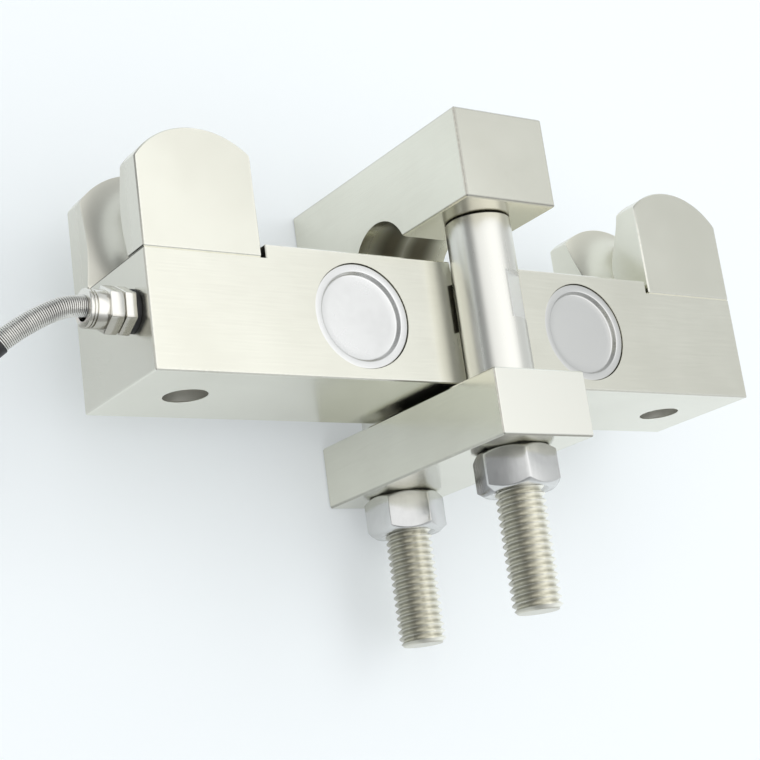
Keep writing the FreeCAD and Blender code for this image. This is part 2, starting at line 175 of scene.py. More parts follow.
# how near a point of a box's skin is to an edge: the middle one of its distances to the three walls
def edgeShare(sheet, where, low, high, width):
    reach = []
    for value, a, b in zip(sheet.split(where), low, high):
        reach.append((b - a) / 2 - abs(value - (a + b) / 2))
    lesser = sheet.maths("MINIMUM", reach[0], reach[1])
    greater = sheet.maths("MAXIMUM", reach[0], reach[1])
    middle = sheet.maths("MAXIMUM", lesser, sheet.maths("MINIMUM", greater, reach[2]))
    return 1 - sheet.ease(middle, 0.0, width)


# share of a point inside an area, which is a box with soft walls, in millimetres; a paired one is there
# at both ends of the cell
def insideShare(sheet, where, area):
    x, y, z = sheet.split(where)
    values = (abs(x) if area["paired"] else x, y, z)
    share = area["cover"]
    for value, a, b, soft in zip(values, area["low"], area["high"], area["soft"]):
        reach = (b - a) / 2 * mm - abs(value - (a + b) / 2 * mm)
        share = sheet.ease(reach, -soft * mm, soft * mm) * share
    return share


# share of a point in the roots of the two studs' threads, by its distance from the nearer stud's axis;
# painted shade darkens these roots
def rootShare(sheet, where, roots):
    x, y, z = sheet.split(where)
    across = abs(z - roots["middle"] * mm) - roots["apart"] * mm
    radius = sheet.maths("SQRT", x * x + across * across)
    low, high = roots["radii"]
    below = 1 - sheet.ease(y, (roots["top"] - roots["topBlur"]) * mm, roots["top"] * mm)
    return (1 - sheet.ease(radius, low * mm, high * mm)) * below


# satin plate: slow clouds in tone and gloss, fine grinding lines along one axis, edges rubbed brighter (on
# the clamp parts darkened instead, as painted shade), and areas with a tone and a gloss of their own, mostly
# painted light and shade, such as painted shade in a narrow gap
def plateFinish(name, look, edgeBox=None, areas=()):
    material, sheet = newFinish(name)
    where = sheet.place()
    cloud = sheet.noise(where, look["cloudScale"], detail=4.0, roughness=0.55)
    lines = sheet.noise(sheet.stretched(where, look["grain"]), 1.0, roughness=0.6)
    specks = sheet.noise(where, look["speckScale"], detail=2.0)
    tone = cloud * look["cloudShare"] + lines * (1 - look["cloudShare"])
    colour = sheet.blend(sheet.ease(tone, *look["toneSpan"]), look["dark"], look["light"])
    rough = look["rough"] + (cloud - 0.5) * look["roughSpread"] + (lines - 0.5) * look["roughSpread"]
    if edgeBox:
        edge = edgeShare(sheet, where, *edgeBox, look["edgeWidth"])
        edge = edge * (1 - look["edgeWear"] * (1 - sheet.ease(specks, *look["wearSpan"])))
        colour = sheet.blend(edge * look["edgeCover"], colour, look["edge"])
        rough = rough - edge * look["edgeGloss"]
    for area in areas:
        share = insideShare(sheet, where, area)
        colour = sheet.blend(share, colour, area["tone"])
        rough = rough + share * (area["rough"] - look["rough"])
    # painted shade in the thread roots
    if "roots" in look:
        colour = sheet.blend(rootShare(sheet, where, look["roots"]), colour, look["roots"]["tone"])
    height = lines + specks * look["speckHeight"]
    sheet.finish({
        "Base Color": colour,
        "Metallic": 1.0,
        "Roughness": rough,
        "Normal": sheet.bump(height, look["bumpDepth"], look["bumpStrength"]),
    })
    return material


plateLook = {
    "light": (0.8, 0.795, 0.705),
    "dark": (0.72, 0.712, 0.625),
    "edge": (0.9, 0.89, 0.83),
    "rough": 0.2,
    "roughSpread": 0.05,
    "cloudScale": 28.0,
    "cloudShare": 0.75,         # of the tone, and the rest is grinding lines
    "toneSpan": (0.3, 0.7),
    "speckScale": 1500.0,
    "speckHeight": 0.1,
    "grain": (90.0, 2600.0, 2600.0),
    "edgeCover": 0.6,
    "edgeWear": 1.0,
    "edgeWidth": 0.0009,
    "edgeGloss": 0.05,
    "wearSpan": (0.25, 0.6),
    "bumpDepth": 0.00002,
    "bumpStrength": 0.04,
}

barLook = plateLook | {"grain": (2600.0, 2600.0, 90.0)}        # ground along Z

clampLook = barLook | {
    # edges drawn as thin dark lines: painted shade on the chamfers
    "edge": (0.3, 0.29, 0.26),
    "edgeCover": 1.0,
    "edgeWear": 0.3,
    "edgeWidth": 0.0008,
}

brightLook = plateLook | {
    "light": (0.785, 0.78, 0.73),
    "dark": (0.755, 0.75, 0.7),
    "grain": (1300.0, 40.0, 1300.0),        # polished along Y
    "rough": 0.28,
    "roughSpread": 0.03,
    "bumpDepth": 0.00001,
    "bumpStrength": 0.012,
    # painted shade in the thread roots, below the top
    "roots": {
        "middle": 37.3,         # of the cell's depth, with a stud on either side
        "apart": 23.2,
        "radii": (4.95, 5.45),
        "top": -22.0,
        "topBlur": 0.1,
        "tone": (0.66, 0.645, 0.565),
    },
}

nutLook = plateLook | {
    "light": (0.7, 0.7, 0.69),
    "dark": (0.62, 0.62, 0.61),
    "grain": (1400.0, 300.0, 1400.0),
    "rough": 0.25,
    "roughSpread": 0.06,
    "cloudScale": 160.0,
    "bumpDepth": 0.00003,
    "bumpStrength": 0.2,
}

coverLook = plateLook | {
    "light": (0.8, 0.8, 0.79),
    "dark": (0.74, 0.74, 0.73),
    "grain": (500.0, 500.0, 500.0),
    "rough": 0.26,
    "roughSpread": 0.06,
    "cloudScale": 70.0,
    "bumpStrength": 0.02,
}

glandLook = plateLook | {
    "light": (0.83, 0.815, 0.765),
    "dark": (0.75, 0.735, 0.69),
    "grain": (2600.0, 120.0, 120.0),
    "rough": 0.2,
    "roughSpread": 0.1,
    "cloudScale": 240.0,
    "bumpStrength": 0.12,
}

springLook = glandLook | {
    "light": (0.82, 0.81, 0.77),
    "dark": (0.66, 0.65, 0.62),
    "grain": (700.0, 700.0, 700.0),
    "rough": 0.3,
}

copperLook = springLook | {"light": (0.86, 0.78, 0.7), "dark": (0.7, 0.58, 0.48)}

screwLook = plateLook | {
    "light": (0.86, 0.85, 0.82),
    "dark": (0.78, 0.77, 0.74),
    "grain": (120.0, 3200.0, 120.0),        # turned about Y
    "rough": 0.15,
    "cloudScale": 300.0,
}

# kinds of area: a base whose areas mostly paint light and shade onto the metal, and a near-black painted
# shade for seams, slots and ledges
wearAndPaintedLight = {"soft": (0.1, 0.1, 0.1), "tone": (0.7, 0.69, 0.62), "cover": 1.0, "rough": 0.26, "paired": True}
paintedShade = wearAndPaintedLight | {"tone": (0.04, 0.037, 0.03), "rough": 0.5}


# an area of a finish, with what sets it apart from others of its kind
def marked(kind, low, high, **changes):
    return kind | {"low": low, "high": high} | changes


seamAreas = [
    # end faces
    marked(wearAndPaintedLight, (89.85, -4, 18), (91, 60, 56)),
    # painted shade in the seams at the saddles' outer ends
    marked(paintedShade, (89.75, 24.2, 18), (91, 24.9, 55.1)),
    # painted shade in the slot at the left saddle's inner end; the right one is left unpainted
    marked(paintedShade, (-60.2, 24.5, 18), (-58.9, 27.7, 55.1), paired=False),
]
beamAreas = seamAreas + [
    # screw holes
    marked(wearAndPaintedLight, (66, -3.4, 28), (84, 30, 46), tone=(0.85, 0.84, 0.79), rough=0.36),
]
# rope groove of each saddle, rougher and darkened by painted shade, more on the left saddle than the right
shadedSaddleGroove = marked(wearAndPaintedLight, (60.3, 25, 24.5), (89.9, 60, 50), soft=(0.3, 1.0, 1.0), rough=0.38)
leftAreas = seamAreas + [shadedSaddleGroove | {"tone": (0.64, 0.63, 0.56)}]
rightAreas = seamAreas + [shadedSaddleGroove | {"tone": (0.76, 0.75, 0.65)}]
blockAreas = [
    # painted shade in the rope groove, darkest along its middle
    marked(wearAndPaintedLight, (-1, 36.9, 26), (10, 44.3, 48.6), soft=(4.5, 0.3, 0.5),
           tone=(0.13, 0.12, 0.09), rough=0.4),
    # painted shade on the underside
    marked(wearAndPaintedLight, (-1, 36, -1), (30, 36.9, 80), tone=(0.72, 0.695, 0.58), rough=0.2),
]
plateAreas = [
    # front end painted lighter: a painted highlight
    marked(wearAndPaintedLight, (-1, -40, 74.45), (30, 0, 76), tone=(0.9, 0.895, 0.82), rough=0.2),
]
pillarAreas = [
    # painted shade in the seam under the clamp block
    marked(paintedShade, (-1, 36.38, -1), (9, 37, 80)),
    # painted shade line at the ledge over the flat in front, and a painted highlight on that flat
    marked(paintedShade, (0.5, 21.7, 63), (9, 21.8, 70), soft=(0.05, 0.05, 0.05), cover=0.15, paired=False),
    marked(wearAndPaintedLight, (0, 9.75, 62), (9, 21.75, 70), soft=(0.05, 0.05, 0.1),
           tone=(0.9, 0.895, 0.87), rough=0.34, paired=False),
    # flat in the beam's notch, painted dark so its reflection in the beam's front is dark: painted shade
    marked(paintedShade, (-9, 9.6, 50), (0.5, 21.9, 56.6), paired=False),
    # threads painted lighter as a painted highlight, and painted shade on their left sides
    marked(wearAndPaintedLight, (-1, -70, -1), (9, -22, 80), tone=(0.95, 0.935, 0.85), rough=0.31),
    marked(wearAndPaintedLight, (-9, -70, -1), (-2.4, -22, 80), soft=(1.8, 0.1, 0.1),
           tone=(0.48, 0.47, 0.41), rough=0.31, paired=False),
]
nutAreas = [
    # painted shade on the left face of the front nut
    marked(wearAndPaintedLight, (-11, -33, 50), (-6.3, -20, 61.4), soft=(0.3, 0.1, 0.3),
           tone=(0.28, 0.28, 0.28), paired=False),
]
glandAreas = [
    # painted shade on the lower side
    marked(wearAndPaintedLight, (90, 4, 40), (102, 9.2, 56), soft=(0.3, 0.6, 0.3), tone=(0.46, 0.44, 0.39)),
]
coverAreas = [
    # painted shade on the right cover in front, which is darker than the others
    marked(wearAndPaintedLight, (10, -4, 30), (60, 30, 60), tone=(0.66, 0.66, 0.645), rough=0.24, paired=False),
]


# moulded rubber or plastic: two close tones in clouds and a fine pebble
def softFinish(name, look):
    material, sheet = newFinish(name)
    where = sheet.place()
    cloud = sheet.noise(where, look["cloudScale"], detail=4.0)
    pebble = sheet.noise(where, look["pebbleScale"], detail=2.0)
    sheet.finish({
        "Base Color": sheet.blend(sheet.ease(cloud, *look["toneSpan"]), look["dark"], look["light"]),
        "Roughness": look["rough"] + (cloud - 0.5) * look["roughSpread"],
        "Normal": sheet.bump(pebble, look["bumpDepth"], look["bumpStrength"]),
    })
    return material


rubberLook = {
    "light": (0.02, 0.02, 0.021),
    "dark": (0.012, 0.012, 0.013),
    "toneSpan": (0.3, 0.7),
    "rough": 0.58,
    "roughSpread": 0.14,
    "cloudScale": 260.0,
    "pebbleScale": 5200.0,
    "bumpDepth": 0.00003,
    "bumpStrength": 0.3,
}
sleeveLook = rubberLook | {"light": (0.028, 0.027, 0.029), "dark": (0.018, 0.018, 0.019), "rough": 0.45}
jacketLook = rubberLook | {"light": (0.05, 0.05, 0.054), "dark": (0.035, 0.035, 0.038), "rough": 0.48}
tieLook = rubberLook | {"light": (0.06, 0.06, 0.062), "dark": (0.045, 0.045, 0.047), "rough": 0.4}
filmLook = rubberLook | {"light": (0.66, 0.4, 0.11), "dark": (0.56, 0.31, 0.07), "rough": 0.3}
boardLook = rubberLook | {"light": (0.12, 0.34, 0.16), "dark": (0.08, 0.25, 0.12), "rough": 0.4}
coreLook = rubberLook | {"light": (0.6, 0.12, 0.09), "dark": (0.48, 0.08, 0.07), "rough": 0.4}


def boxOf(node):
    low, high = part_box(node)
    return tuple(low), tuple(high)


finishes = {
    "beam": plateFinish("beamPlate", plateLook, boxOf("sensor_beam"), beamAreas),
    "leftSaddle": plateFinish("leftSaddlePlate", barLook, boxOf("left_rope_saddle"), leftAreas),
    "rightSaddle": plateFinish("rightSaddlePlate", barLook, boxOf("right_rope_saddle"), rightAreas),
    "block": plateFinish("blockPlate", clampLook, boxOf("clamp_block"), blockAreas),
    "plate": plateFinish("clampPlatePlate", clampLook, boxOf("clamp_plate"), plateAreas),
    "pillar": plateFinish("turnedPillar", brightLook, areas=pillarAreas),
    "nut": plateFinish("nutPlate", nutLook, areas=nutAreas),
    "cover": plateFinish("coverSteel", coverLook, areas=coverAreas),
    "gland": plateFinish("glandNickel", glandLook, areas=glandAreas),
    "spring": plateFinish("springWire", springLook),
    "copper": plateFinish("tinnedCopper", copperLook),
    "screw": plateFinish("screwSteel", screwLook),
    "rubber": softFinish("sealRubber", rubberLook),
    "sleeve": softFinish("shrinkSleeve", sleeveLook),
    "jacket": softFinish("cableJacket", jacketLook),
    "tie": softFinish("tieNylon", tieLook),
    "film": softFinish("gaugeFilm", filmLook),
    "board": softFinish("boardLaminate", boardLook),
    "cores": softFinish("coreInsulation", coreLook),
}
print("finishes:", len(finishes))


# quads between the rows of a grid whose columns close; the rows close too on a loop, or get flat caps
def patch(points, loop=False):
    rows, cols = points.shape[:2]
    i = np.arange(rows if loop else rows - 1)[:, None]
    j = np.arange(cols)[None, :]
    nextRow = (i + 1) % rows * cols
    nextCol = (j + 1) % cols
    quads = np.stack([i * cols + j, i * cols + nextCol, nextRow + nextCol, nextRow + j], -1)
    faces = quads.reshape(-1, 4).tolist()
    if not loop:
        faces += [list(range(cols))[::-1], list(range((rows - 1) * cols, rows * cols))]
    return points.reshape(-1, 3), faces


# volume inside closed faces: each face is a fan, and each fan triangle a cone from the origin
def enclosed(points, faces):
    total = 0.0
    for size in set(map(len, faces)):
        ring = points[np.array([face for face in faces if len(face) == size])]
        first = np.repeat(ring[:, :1], size - 2, 1)
        total += np.einsum("ijk,ijk->", np.cross(first, ring[:, 1:-1]), ring[:, 2:])
    return total


# edges that bend by more than the sharp angle, in degrees, stay crisp
def addPiece(name, mesh, finish, replaced, sharp):
    mesh.shade_smooth()
    mesh.set_sharp_from_angle(angle=math.radians(sharp))
    piece = newObject(name, mesh)
    mesh.materials.clear()
    mesh.materials.append(finishes[finish])
    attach(piece, "root")
    if replaced:
        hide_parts(*replaced)
    return piece


def makePiece(name, patches, finish, replaced=(), sharp=40):
    allPoints, allFaces, count = [], [], 0
    for points, faces in patches:
        if enclosed(points, faces) < 0:
            faces = [face[::-1] for face in faces]
        allFaces += [[corner + count for corner in face] for face in faces]
        allPoints.append(points)
        count += len(points)
    mesh = bpy.data.meshes.new(name)
    mesh.from_pydata((np.concatenate(allPoints) * mm).tolist(), [], allFaces)
    return addPiece(name, mesh, finish, replaced, sharp)


# a copy of a CAD node with its corners merged, shaded smooth over its curved faces
def smoothCopy(name, node, finish, sharp=24, merged=1e-6, shortest=1e-7):
    source = nodes[node].data
    points = np.empty(len(source.vertices) * 3)
    source.vertices.foreach_get("co", points)
    source.calc_loop_triangles()
    corners = np.empty(len(source.loop_triangles) * 3, np.int32)
    source.loop_triangles.foreach_get("vertices", corners)
    mesh = bpy.data.meshes.new(name)
    mesh.from_pydata(points.reshape(-1, 3).tolist(), [], corners.reshape(-1, 3).tolist())
    work = bmesh.new()
    work.from_mesh(mesh)
    bmesh.ops.remove_doubles(work, verts=work.verts, dist=merged)
    bmesh.ops.dissolve_degenerate(work, edges=work.edges, dist=shortest)
    work.to_mesh(mesh)
    work.free()
    return addPiece(name, mesh, finish, (node,), sharp)


def millimetreBox(node):
    return [np.array(corner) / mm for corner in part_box(node)]


def unit(vectors):
    return vectors / np.linalg.norm(vectors, axis=-1, keepdims=True)


# a share from 0 to 1 that starts and ends gently: 3 times its square less twice its cube
def eased(share):
    return share * share * (3 - 2 * share)


def circle(count):
    return np.linspace(0, 2 * math.pi, count, endpoint=False)


# directions round an axis: first * cos turn + second * sin turn
def spokes(turn, first, second):
    return np.cos(turn)[:, None] * first[..., None, :] + np.sin(turn)[:, None] * second[..., None, :]


axisFrames = {
    "up": np.array([(1, 0, 0), (0, 1, 0), (0, 0, 1)], float),
    "down": np.array([(1, 0, 0), (0, 1, 0), (0, 0, -1)], float),
    "stud": np.array([(1, 0, 0), (0, 0, 1), (0, 1, 0)], float),
    "gland": np.array([(0, 1, 0), (0, 0, 1), (-1, 0, 0)], float),
}


# place = base + radius * spoke at the turn angle + axis * height
def turned(base, axis, radii, heights, turn):
    across, beside, along = axisFrames[axis]
    radii = np.broadcast_to(radii, (len(radii), len(turn)))[..., None]
    heights = np.broadcast_to(heights, radii.shape[:2])[..., None]
    return np.asarray(base, float) + radii * spokes(turn, across, beside) + heights * along


# Each corner of a profile becomes a quadratic curve between points a cut away from it. A cut takes no more
# than the given share of a side.
def softProfile(points, cut, steps, loop=False, sideShare=0.45):
    points = np.asarray(points, float)
    back = np.roll(points, 1, 0) - points
    ahead = np.roll(points, -1, 0) - points
    backRun = np.linalg.norm(back, axis=1)[:, None]
    aheadRun = np.linalg.norm(ahead, axis=1)[:, None]
    cut = np.broadcast_to(cut, len(points))[:, None]
    cut = np.minimum(cut, sideShare * np.minimum(backRun, aheadRun))
    start = (points + back / backRun * cut)[:, None]
    end = (points + ahead / aheadRun * cut)[:, None]
    share = np.linspace(0, 1, steps)[None, :, None]
    curves = (1 - share) ** 2 * start + 2 * share * (1 - share) * points[:, None] + share ** 2 * end
    if loop:
        return curves.reshape(-1, 2)
    return np.concatenate([points[:1], curves[1:-1].reshape(-1, 2), points[-1:]])


cable = {
    "mouth": (-101.75, 12.1, 47.35),
    "radius": 1.5,
    "route": [
        (0.0, 0.0, 0.0), (-3.2, 0.0, 0.0), (-6.9, -0.88, -0.56), (-10.85, -2.75, -1.77),
        (-14.8, -5.1, -3.55), (-18.76, -8.0, -5.68), (-21.83, -11.3, -9.9), (-24.31, -14.37, -14.48),
        (-26.71, -17.81, -19.1), (-29.17, -21.44, -23.55), (-31.81, -25.41, -27.57), (-34.95, -30.1, -30.05),
    ],
    "coilMiddle": (-157.15, -5.5),
    "coilInner": 12.0,
    "coilOuter": 24.0,
    "coilTop": 17.3,        # middle of the top layer
    "layers": 6,
    "layerTurns": 4,
    "dropTurns": 1 / 3,     # from one layer to the next
    "pointsPerTurn": 24,
    "tail": [(10.0, 24.4, 2.0), (19.0, 26.2, 1.5)],
    "pathSteps": 16,        # between two points, where other pieces follow the cable
    "drawnSteps": 4,
    "roundness": 4,
}


# The turn angle falls steadily from where the route ends. Each layer runs in or out by one diameter a
# turn, and then drops by one diameter at the same radius.
def coilPoints(c):
    lastPlace = np.add(c["mouth"], c["route"][-1])[:2] - c["coilMiddle"]
    period = c["layerTurns"] + c["dropTurns"]
    turns = c["layers"] * period - c["dropTurns"]
    step = np.arange(1, round(turns * c["pointsPerTurn"]) + 1) / c["pointsPerTurn"]
    layer = np.minimum(step // period, c["layers"] - 1)
    within = step - layer * period
    share = np.clip(within / c["layerTurns"], 0, 1)
    drop = eased(np.clip((within - c["layerTurns"]) / c["dropTurns"], 0, 1))
    span = c["coilOuter"] - c["coilInner"]
    radius = np.where(layer % 2 == 0, c["coilOuter"] - span * share, c["coilInner"] + span * share)
    # at a point, this spline is 3/4 of that point and 1/8 of each neighbour, so it runs inside them
    radius = radius / (0.75 + 0.25 * math.cos(2 * math.pi / c["pointsPerTurn"]))
    angle = math.atan2(lastPlace[1], lastPlace[0]) - 2 * math.pi * step
    height = c["coilTop"] - 2 * c["radius"] * (layer + drop)
    x = c["coilMiddle"][0] + radius * np.cos(angle)
    y = c["coilMiddle"][1] + radius * np.sin(angle)
    return np.stack([x, y, height], -1)


def splineCurve(name, points, resolution):
    data = bpy.data.curves.new(name, "CURVE")
    data.dimensions = "3D"
    data.resolution_u = resolution
    spline = data.splines.new("NURBS")
    spline.points.add(len(points) - 1)
    weighted = np.concatenate([np.asarray(points) * mm, np.ones((len(points), 1))], 1)
    spline.points.foreach_set("co", weighted.ravel())
    spline.order_u = 3
    spline.use_endpoint_u = True
    return newObject(name, data)


# points of a curve that has no bevel yet, in millimetres
def curvePoints(curve):
    bpy.context.view_layer.update()
    mesh = bpy.data.meshes.new_from_object(curve.evaluated_get(bpy.context.evaluated_depsgraph_get()))
    points = np.empty(len(mesh.vertices) * 3)
    mesh.vertices.foreach_get("co", points)
    bpy.data.meshes.remove(mesh)
    return points.reshape(-1, 3) / mm


# a line by its length: places at given distances, with the straight line carried on before its start
class Path:
    def __init__(self, points):
        self.points = points
        self.runs = np.concatenate([[0], np.cumsum(np.linalg.norm(np.diff(points, axis=0), axis=1))])
        self.length = self.runs[-1]
        self.heading = unit(points[1] - points[0])

    def at(self, distance):
        inside = [np.interp(distance, self.runs, self.points[:, k]) for k in range(3)]
        return np.stack(inside, -1) + np.minimum(distance, 0)[..., None] * self.heading

    # two directions across the line at each place, the first one square to the given side
    def across(self, distance, side, reach=0.4):
        ahead = unit(self.at(distance + reach) - self.at(distance - reach))
        first = unit(np.cross(side, ahead))
        return first, np.cross(ahead, first)

    def nearest(self, place):
        return self.runs[np.argmin(np.linalg.norm(self.points - np.asarray(place), axis=1))]


# circles of the given radii, carried along a path
def carried(path, distance, radii, turn, side):
    ring = spokes(turn, *path.across(distance, side))
    return path.at(distance)[:, None] + np.asarray(radii)[:, None, None] * ring


route = np.add(cable["mouth"], cable["route"])
coil = coilPoints(cable)
tail = np.add((*cable["coilMiddle"], 0), cable["tail"])
cordPoints = np.concatenate([route, coil, tail])
cord = splineCurve("signalCable", cordPoints, cable["pathSteps"])
cordPath = Path(curvePoints(cord))
cord.data.resolution_u = cable["drawnSteps"]
cord.data.bevel_depth = cable["radius"] * mm
cord.data.bevel_resolution = cable["roundness"]
cord.data.use_fill_caps = True
cord.data.materials.append(finishes["jacket"])
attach(cord, "root")
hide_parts("cable", "cable_coil", "cable_tail")
print("cable length", round(cordPath.length), "mm")


spring = {
    "end": (-118.9, 5.0, 42.4),     # where the sleeve takes over
    "seat": 1.4,                    # inside the mouth of the gland
    "outer": 2.42,
    "wire": 0.205,
    "pitch": 0.46,
    "lift": (0.0, 0.42, 0.13),      # at the mouth, where the bent spring lies high in its hole
    "liftEnd": 9.0,                 # along the cable
    "pointsPerTurn": 32,
    "wireSides": 10,
    "side": (0.0, 0.7071, -0.7071),
}


# The wire's middle goes round the cable once a pitch; the wire is a circle across that helix.
def springSurface(s):
    end = cordPath.nearest(s["end"])
    turns = (end + s["seat"]) / s["pitch"]
    distance = np.linspace(-s["seat"], end, int(turns * s["pointsPerTurn"]))
    first, second = cordPath.across(distance, s["side"])
    phase = (2 * math.pi * distance / s["pitch"])[:, None]
    spoke = np.cos(phase) * first + np.sin(phase) * second
    fade = np.clip(1 - distance / s["liftEnd"], 0, 1)[:, None]
    middle = cordPath.at(distance) + np.array(s["lift"]) * eased(fade)
    middle = middle + (s["outer"] - s["wire"]) * spoke
    along = unit(np.gradient(middle, axis=0))
    ring = spokes(circle(s["wireSides"]), spoke, np.cross(along, spoke))
    return patch(middle[:, None] + s["wire"] * ring)


strainSpring = makePiece("strainSpring", [springSurface(spring)], "spring",
                         ("strain_relief_spring",), sharp=60)
print("spring made")


sleeve = {
    "start": spring["end"],
    "end": (-124.7, -0.43, 35.46),
    "outer": 2.62,
    "inner": 1.55,
    "mouth": 0.5,           # rounding of its two ends
    "endRun": 1.2,          # left to that rounding
    "thinning": 0.22,       # of the wall along its run, as the cube of the distance
    "endDrop": 0.35,        # of the outer edge at the far end
    "rows": 24,
    "roundSteps": 5,
    "segments": 40,
}


# A closed profile of distance and radius, carried along the cable: the wall is thinner towards the far end.
def sleeveSurface(s):
    start = cordPath.nearest(s["start"])
    end = cordPath.nearest(s["end"])
    run = np.linspace(start + s["endRun"], end - s["endRun"], s["rows"])
    fullness = s["outer"] - s["thinning"] * ((run - start) / (end - start)) ** 3
    profile = [(start, s["inner"]), (start, s["outer"]), *zip(run, fullness)]
    profile += [(end, s["outer"] - s["endDrop"]), (end, s["inner"])]
    profile += [(place, s["inner"]) for place in run[::-1]]
    profile = softProfile(profile, s["mouth"], s["roundSteps"], True)
    turn = circle(s["segments"])
    return patch(carried(cordPath, profile[:, 0], profile[:, 1], turn, spring["side"]), True)


shrinkSleeve = makePiece("shrinkSleeve", [sleeveSurface(sleeve)], "sleeve",
                         ("spring_sleeve",), sharp=50)
print("sleeve made")


pillar = {
    "plateTop": -5.2,
    "blockUnder": 36.7,
    "radius": 8.1,
    "chamfer": 0.5,
    "flats": 14.0,
    "flatAngle": 60.0,
    "flatLength": 12.0,
    "thread": 6.0,
    "root": 4.93,
    "pitch": 1.75,
    "tipChamfer": 1.1,
    "threadEnd": -28.0,     # hidden in the nut
    "runOut": 0.5,          # from the thread to the plain shank
    "rowsPerTurn": 24,
    "stepsPerSide": 28,     # on each flat, and on each round side between them
    "hair": 0.01,           # keeps two rows at a ledge apart
}


# Thread: the distance from the crest's middle, along the stud, sets the radius, with flanks that are eased
# into a rounded crest and root. The crest climbs one pitch a turn.
def threadRadius(p, height, turn):
    share = (height / p["pitch"] + turn / (2 * math.pi)) % 1
    off = np.abs(share - 0.5) * p["pitch"]
    depth = p["thread"] - p["root"]
    level = np.clip(0.5 + (p["pitch"] / 4 - off) / depth, 0, 1)
    return p["root"] + depth * eased(level)


# Radius by turn and height: thread cut off by the tip's cone, then the plain shank, the hub and the stub.
# On the flats the radius is that of a straight wall where this is less than the hub's.
def pillarSurface(p, node):
    low, high = millimetreBox(node)
    half = math.acos(p["flats"] / 2 / p["radius"])
    middle = math.radians(p["flatAngle"])
    wide = np.linspace(-half, half, p["stepsPerSide"], endpoint=False)
    hub = np.linspace(half, math.pi - half, p["stepsPerSide"], endpoint=False)
    turn = np.concatenate([wide, hub, wide + math.pi, hub + math.pi]) + middle
    tip, top = low[1], high[1]
    count = int((p["threadEnd"] - tip) / p["pitch"] * p["rowsPerTurn"])
    threadRows = np.linspace(tip, p["threadEnd"], count)[:, None]
    cone = p["thread"] - p["tipChamfer"] + (threadRows - tip)
    threadRadii = np.minimum(threadRadius(p, threadRows, turn[None, :]), cone)
    wall = p["flats"] / 2 / np.maximum(np.abs(np.cos(turn - middle)), 1e-3)
    flat = np.minimum(p["radius"], wall)
    hubEdge = p["radius"] - p["chamfer"]
    flatLow = (p["plateTop"] + p["blockUnder"] - p["flatLength"]) / 2
    flatHigh = flatLow + p["flatLength"]
    rows = [
        (p["threadEnd"] + p["runOut"], p["thread"]), (p["plateTop"], p["thread"]), (p["plateTop"], hubEdge),
        (p["plateTop"] + p["chamfer"], p["radius"]), (flatLow - p["hair"], p["radius"]),
        (flatLow + p["hair"], flat), (flatHigh - p["hair"], flat), (flatHigh + p["hair"], p["radius"]),
        (p["blockUnder"] - p["chamfer"], p["radius"]), (p["blockUnder"], hubEdge),
        (p["blockUnder"], p["thread"]), (top - p["tipChamfer"], p["thread"]),
        (top, p["thread"] - p["tipChamfer"]),
    ]
    heights = np.concatenate([threadRows, np.array([row[0] for row in rows])[:, None]])
    upper = np.stack([np.broadcast_to(row[1], len(turn)) for row in rows])
    base = (0, 0, (low[2] + high[2]) / 2)
    return patch(turned(base, "stud", np.concatenate([threadRadii, upper]), heights, turn))


for end in ("front", "rear"):
    node = end + "_clamp_pillar"
    makePiece(end + "Pillar", [pillarSurface(pillar, node)], "pillar", (node,), sharp=38)
print("pillars made")


sixth = math.pi / 3     # turn angle from one corner of a hexagon to the next


# Polar radius of a hexagon whose corners are rounded: a straight wall, or the far side of a corner's circle.
def hexRadius(turn, flats, firstCorner, rounding):
    off = np.abs((turn - firstCorner + sixth / 2) % sixth - sixth / 2)
    wall = flats / 2 / np.cos(sixth / 2 - off)
    centre = (flats / 2 - rounding) / math.cos(sixth / 2)
    limit = math.atan2(rounding / 2, centre + rounding * math.cos(sixth / 2))
    arc = centre * np.cos(off) + np.sqrt(np.maximum(rounding ** 2 - (centre * np.sin(off)) ** 2, 0))
    return np.where(off < limit, arc, wall)


# turn angles round a hexagon, close together at its corners
def hexTurn(firstCorner, steps=18):
    share = np.linspace(-1, 1, steps, endpoint=False)
    spread = np.sin(share * math.pi / 2) * sixth / 2
    return (np.arange(6)[:, None] * sixth + sixth / 2 + spread[None, :]).ravel() + firstCorner


# Rows of a hexagon with its corners turned off by a cone at its ends: the cone meets each wall in an arc.
# The edge is the small bevel where they meet, and all that an end has whose face is as wide as the wall.
def hexRows(wall, low, high, faces, slope, edge):
    lowFace, highFace = [np.minimum(face, wall - 2 * edge) for face in faces]
    lowFall, highFall = (wall - lowFace) * slope, (wall - highFace) * slope
    radii = [lowFace, wall - edge, wall, wall, wall - edge, highFace]
    heights = [0 * wall + low, low + lowFall - edge * slope, low + lowFall + edge]
    heights += [high - highFall - edge, high - highFall + edge * slope, 0 * wall + high]
    return np.stack(radii), np.stack(heights)


# rows of a round profile of radius and height, widened to all the turn angles
def evenRows(profile, turn):
    profile = np.asarray(profile, float)
    even = np.ones((1, len(turn)))
    return profile[:, :1] * even, profile[:, 1:] * even


def joined(*parts):
    return [np.concatenate(rows) for rows in zip(*parts)]


nut = {
    "flats": 18.0,
    "bore": 6.1,
    "countersink": 6.9,
    "faces": (8.5, 8.5),
    "slope": math.tan(math.radians(38)),
    "rounding": 0.55,
    "edge": 0.12,
    "corner": {"front": 53.3, "rear": 28.3},
}


